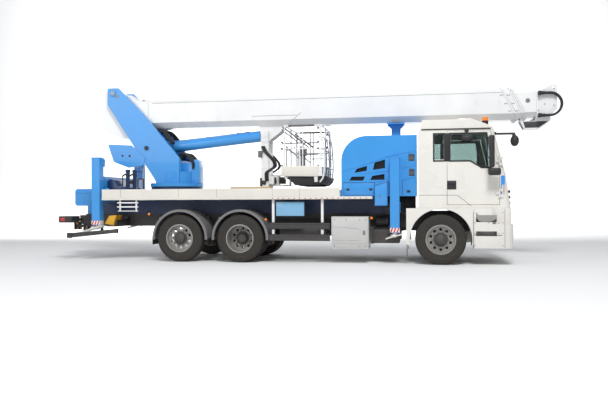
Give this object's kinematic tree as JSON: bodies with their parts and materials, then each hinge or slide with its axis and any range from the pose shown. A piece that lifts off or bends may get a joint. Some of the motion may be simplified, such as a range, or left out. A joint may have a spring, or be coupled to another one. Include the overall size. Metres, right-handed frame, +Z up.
{
  "type": "cherry picker truck",
  "caption": "Three-axle truck with a slewing turret, a telescopic boom laid forward over the cab, a levelled basket and sliding outriggers.",
  "frame": {"origin": "on the ground under the middle of the truck's box", "axes": "+X to the truck's nose, +Y to its left side, +Z up"},
  "size_m": [11.0337, 2.91, 3.9649],
  "materials": {
    "tyre_rubber": "matt worn rubber",
    "rim_silver": "silver-grey paint",
    "chassis_black": "satin black paint",
    "cab_white": "gloss cream-white paint",
    "window_glass": "tinted glass",
    "dark_plastic": "grained dark plastic",
    "cab_fabric": "dark grey woven cloth and trim",
    "beacon_amber": "clear amber plastic",
    "lamp_lens": "clear moulded lens",
    "bright_blue": "gloss blue paint",
    "navy_paint": "satin navy paint",
    "deck_cream": "satin cream paint",
    "boom_white": "gloss white paint",
    "hose_rubber": "black braided hose",
    "rod_chrome": "hard chrome and zinc",
    "basket_white": "white powder coat",
    "box_grey": "light grey embossed sheet",
    "mudguard_grey": "grey moulded plastic"
  },
  "bodies": {
    "chassis": {"axles": "chassis_black", "chassis_frame": "chassis_black", "drive_line": "chassis_black", "cab_shell": "cab_white", "cab_glass": "window_glass", "cab_lower": "cab_white", "cab_trim": "dark_plastic", "cab_interior": "cab_fabric", "beacons": "beacon_amber", "hood": "bright_blue", "boom_rest": "bright_blue", "subframe": "navy_paint", "deck": "deck_cream", "front_outrigger_box": "bright_blue", "rear_outrigger_box": "bright_blue", "toolboxes": "box_grey", "control_box": "bright_blue", "side_guards": "chassis_black", "mudguards": "mudguard_grey", "rear_frame": "chassis_black", "lamps": "lamp_lens"},
    "turret": {"turret": "bright_blue"},
    "boom_base": {"boom_base": "boom_white"},
    "boom_section_2": {"boom_section_2": "boom_white"},
    "boom_section_3": {"boom_section_3": "boom_white"},
    "boom_head": {"boom_head": "boom_white", "head_hoses": "hose_rubber"},
    "lift_barrel": {"lift_barrel": "bright_blue"},
    "lift_rod": {"lift_rod": "rod_chrome"},
    "basket_fork": {"basket_fork": "basket_white"},
    "basket": {"basket": "basket_white", "basket_base": "dark_plastic"},
    "front_beam_left": {"front_beam_left": "bright_blue"},
    "front_leg_left": {"front_leg_left": "rod_chrome"},
    "front_beam_right": {"front_beam_right": "bright_blue"},
    "front_leg_right": {"front_leg_right": "rod_chrome"},
    "rear_beam_left": {"rear_beam_left": "bright_blue"},
    "rear_leg_left": {"rear_leg_left": "rod_chrome"},
    "rear_beam_right": {"rear_beam_right": "bright_blue"},
    "rear_leg_right": {"rear_leg_right": "rod_chrome"},
    "door_left": {"door_left": "cab_white", "door_glass_left": "window_glass", "mirror_left": "dark_plastic"},
    "door_right": {"door_right": "cab_white", "door_glass_right": "window_glass", "mirror_right": "dark_plastic"},
    "knuckle_left": {"knuckle_left": "chassis_black"},
    "front_wheel_left": {"front_wheel_tyre_left": "tyre_rubber", "front_wheel_rim_left": "rim_silver"},
    "knuckle_right": {"knuckle_right": "chassis_black"},
    "front_wheel_right": {"front_wheel_tyre_right": "tyre_rubber", "front_wheel_rim_right": "rim_silver"},
    "drive_wheel_left": {"drive_wheel_tyre_left": "tyre_rubber", "drive_wheel_rim_left": "rim_silver"},
    "drive_wheel_right": {"drive_wheel_tyre_right": "tyre_rubber", "drive_wheel_rim_right": "rim_silver"},
    "trailing_wheel_left": {"trailing_wheel_tyre_left": "tyre_rubber", "trailing_wheel_rim_left": "rim_silver"},
    "trailing_wheel_right": {"trailing_wheel_tyre_right": "tyre_rubber", "trailing_wheel_rim_right": "rim_silver"}
  },
  "joints": [
    {"name": "slew", "type": "hinge", "parent": "chassis", "child": "turret", "pos_m": [-3.082, 0, 1.655], "axis": [0, 0, 1], "range_deg": [-180, 180]},
    {"name": "luff", "type": "hinge", "parent": "turret", "child": "boom_base", "pos_m": [-4.482, 0, 3.84], "axis": [0, -1, 0], "range_deg": [0, 75]},
    {"name": "extend_2", "type": "slide", "parent": "boom_base", "child": "boom_section_2", "axis": [1, 0, 0], "range_m": [0, 6.2]},
    {"name": "extend_3", "type": "slide", "parent": "boom_section_2", "child": "boom_section_3", "axis": [1, 0, 0], "range_m": [0, 6.2]},
    {"name": "extend_4", "type": "slide", "parent": "boom_section_3", "child": "boom_head", "axis": [1, 0, 0], "range_m": [0, 6.2]},
    {"name": "lift_barrel_swing", "type": "hinge", "parent": "turret", "child": "lift_barrel", "pos_m": [-3.652, 0, 2.55], "axis": [0, -1, 0], "range_deg": [0, 72]},
    {"name": "lift_rod_slide", "type": "slide", "parent": "lift_barrel", "child": "lift_rod", "axis": [0.995, 0, 0.1002], "range_m": [0, 1.86]},
    {"name": "basket_level", "type": "hinge", "parent": "boom_base", "child": "basket_fork", "pos_m": [-0.872, 0, 2.83], "axis": [0, -1, 0], "range_deg": [-75, 0]},
    {"name": "basket_turn", "type": "hinge", "parent": "basket_fork", "child": "basket", "pos_m": [-0.702, 0, 1.64], "axis": [0, 0, 1], "range_deg": [-90, 90]},
    {"name": "front_beam_left_out", "type": "slide", "parent": "chassis", "child": "front_beam_left", "axis": [0, 1, 0], "range_m": [0, 0.75]},
    {"name": "front_leg_left_down", "type": "slide", "parent": "front_beam_left", "child": "front_leg_left", "axis": [0, 0, -1], "range_m": [0, 0.5]},
    {"name": "front_beam_right_out", "type": "slide", "parent": "chassis", "child": "front_beam_right", "axis": [0, -1, 0], "range_m": [0, 0.75]},
    {"name": "front_leg_right_down", "type": "slide", "parent": "front_beam_right", "child": "front_leg_right", "axis": [0, 0, -1], "range_m": [0, 0.5]},
    {"name": "rear_beam_left_out", "type": "slide", "parent": "chassis", "child": "rear_beam_left", "axis": [0, 1, 0], "range_m": [0, 0.75]},
    {"name": "rear_leg_left_down", "type": "slide", "parent": "rear_beam_left", "child": "rear_leg_left", "axis": [0, 0, -1], "range_m": [0, 0.64]},
    {"name": "rear_beam_right_out", "type": "slide", "parent": "chassis", "child": "rear_beam_right", "axis": [0, -1, 0], "range_m": [0, 0.75]},
    {"name": "rear_leg_right_down", "type": "slide", "parent": "rear_beam_right", "child": "rear_leg_right", "axis": [0, 0, -1], "range_m": [0, 0.64]},
    {"name": "door_left_open", "type": "hinge", "parent": "chassis", "child": "door_left", "pos_m": [4.133, 1.144, 1.42], "axis": [0, 0, -1], "range_deg": [0, 70]},
    {"name": "door_right_open", "type": "hinge", "parent": "chassis", "child": "door_right", "pos_m": [4.133, -1.144, 1.42], "axis": [0, 0, 1], "range_deg": [0, 70]},
    {"name": "steer_left", "type": "hinge", "parent": "chassis", "child": "knuckle_left", "pos_m": [2.978, 0.88, 0.512], "axis": [0, 0, 1], "range_deg": [-38, 38]},
    {"name": "front_wheel_left_roll", "type": "hinge", "parent": "knuckle_left", "child": "front_wheel_left", "pos_m": [2.978, 1.072, 0.512], "axis": [0, 1, 0], "continuous": true},
    {"name": "steer_right", "type": "hinge", "parent": "chassis", "child": "knuckle_right", "pos_m": [2.978, -0.88, 0.512], "axis": [0, 0, 1], "range_deg": [-38, 38]},
    {"name": "front_wheel_right_roll", "type": "hinge", "parent": "knuckle_right", "child": "front_wheel_right", "pos_m": [2.978, -1.072, 0.512], "axis": [0, 1, 0], "continuous": true},
    {"name": "drive_wheel_left_roll", "type": "hinge", "parent": "chassis", "child": "drive_wheel_left", "pos_m": [-1.222, 1.072, 0.512], "axis": [0, 1, 0], "continuous": true},
    {"name": "drive_wheel_right_roll", "type": "hinge", "parent": "chassis", "child": "drive_wheel_right", "pos_m": [-1.222, -1.072, 0.512], "axis": [0, 1, 0], "continuous": true},
    {"name": "trailing_wheel_left_roll", "type": "hinge", "parent": "chassis", "child": "trailing_wheel_left", "pos_m": [-2.572, 1.072, 0.512], "axis": [0, 1, 0], "continuous": true},
    {"name": "trailing_wheel_right_roll", "type": "hinge", "parent": "chassis", "child": "trailing_wheel_right", "pos_m": [-2.572, -1.072, 0.512], "axis": [0, 1, 0], "continuous": true}
  ],
  "couplings": [
    {"joint": "extend_3", "follows": "extend_2", "ratio": 1},
    {"joint": "extend_4", "follows": "extend_2", "ratio": 1},
    {"joint": "lift_barrel_swing", "follows": "luff", "ratio": 0.94398},
    {"joint": "lift_rod_slide", "follows": "luff", "m_per_rad": 1.4124},
    {"joint": "basket_level", "follows": "luff", "ratio": -1},
    {"joint": "steer_right", "follows": "steer_left", "ratio": 1}
  ]
}
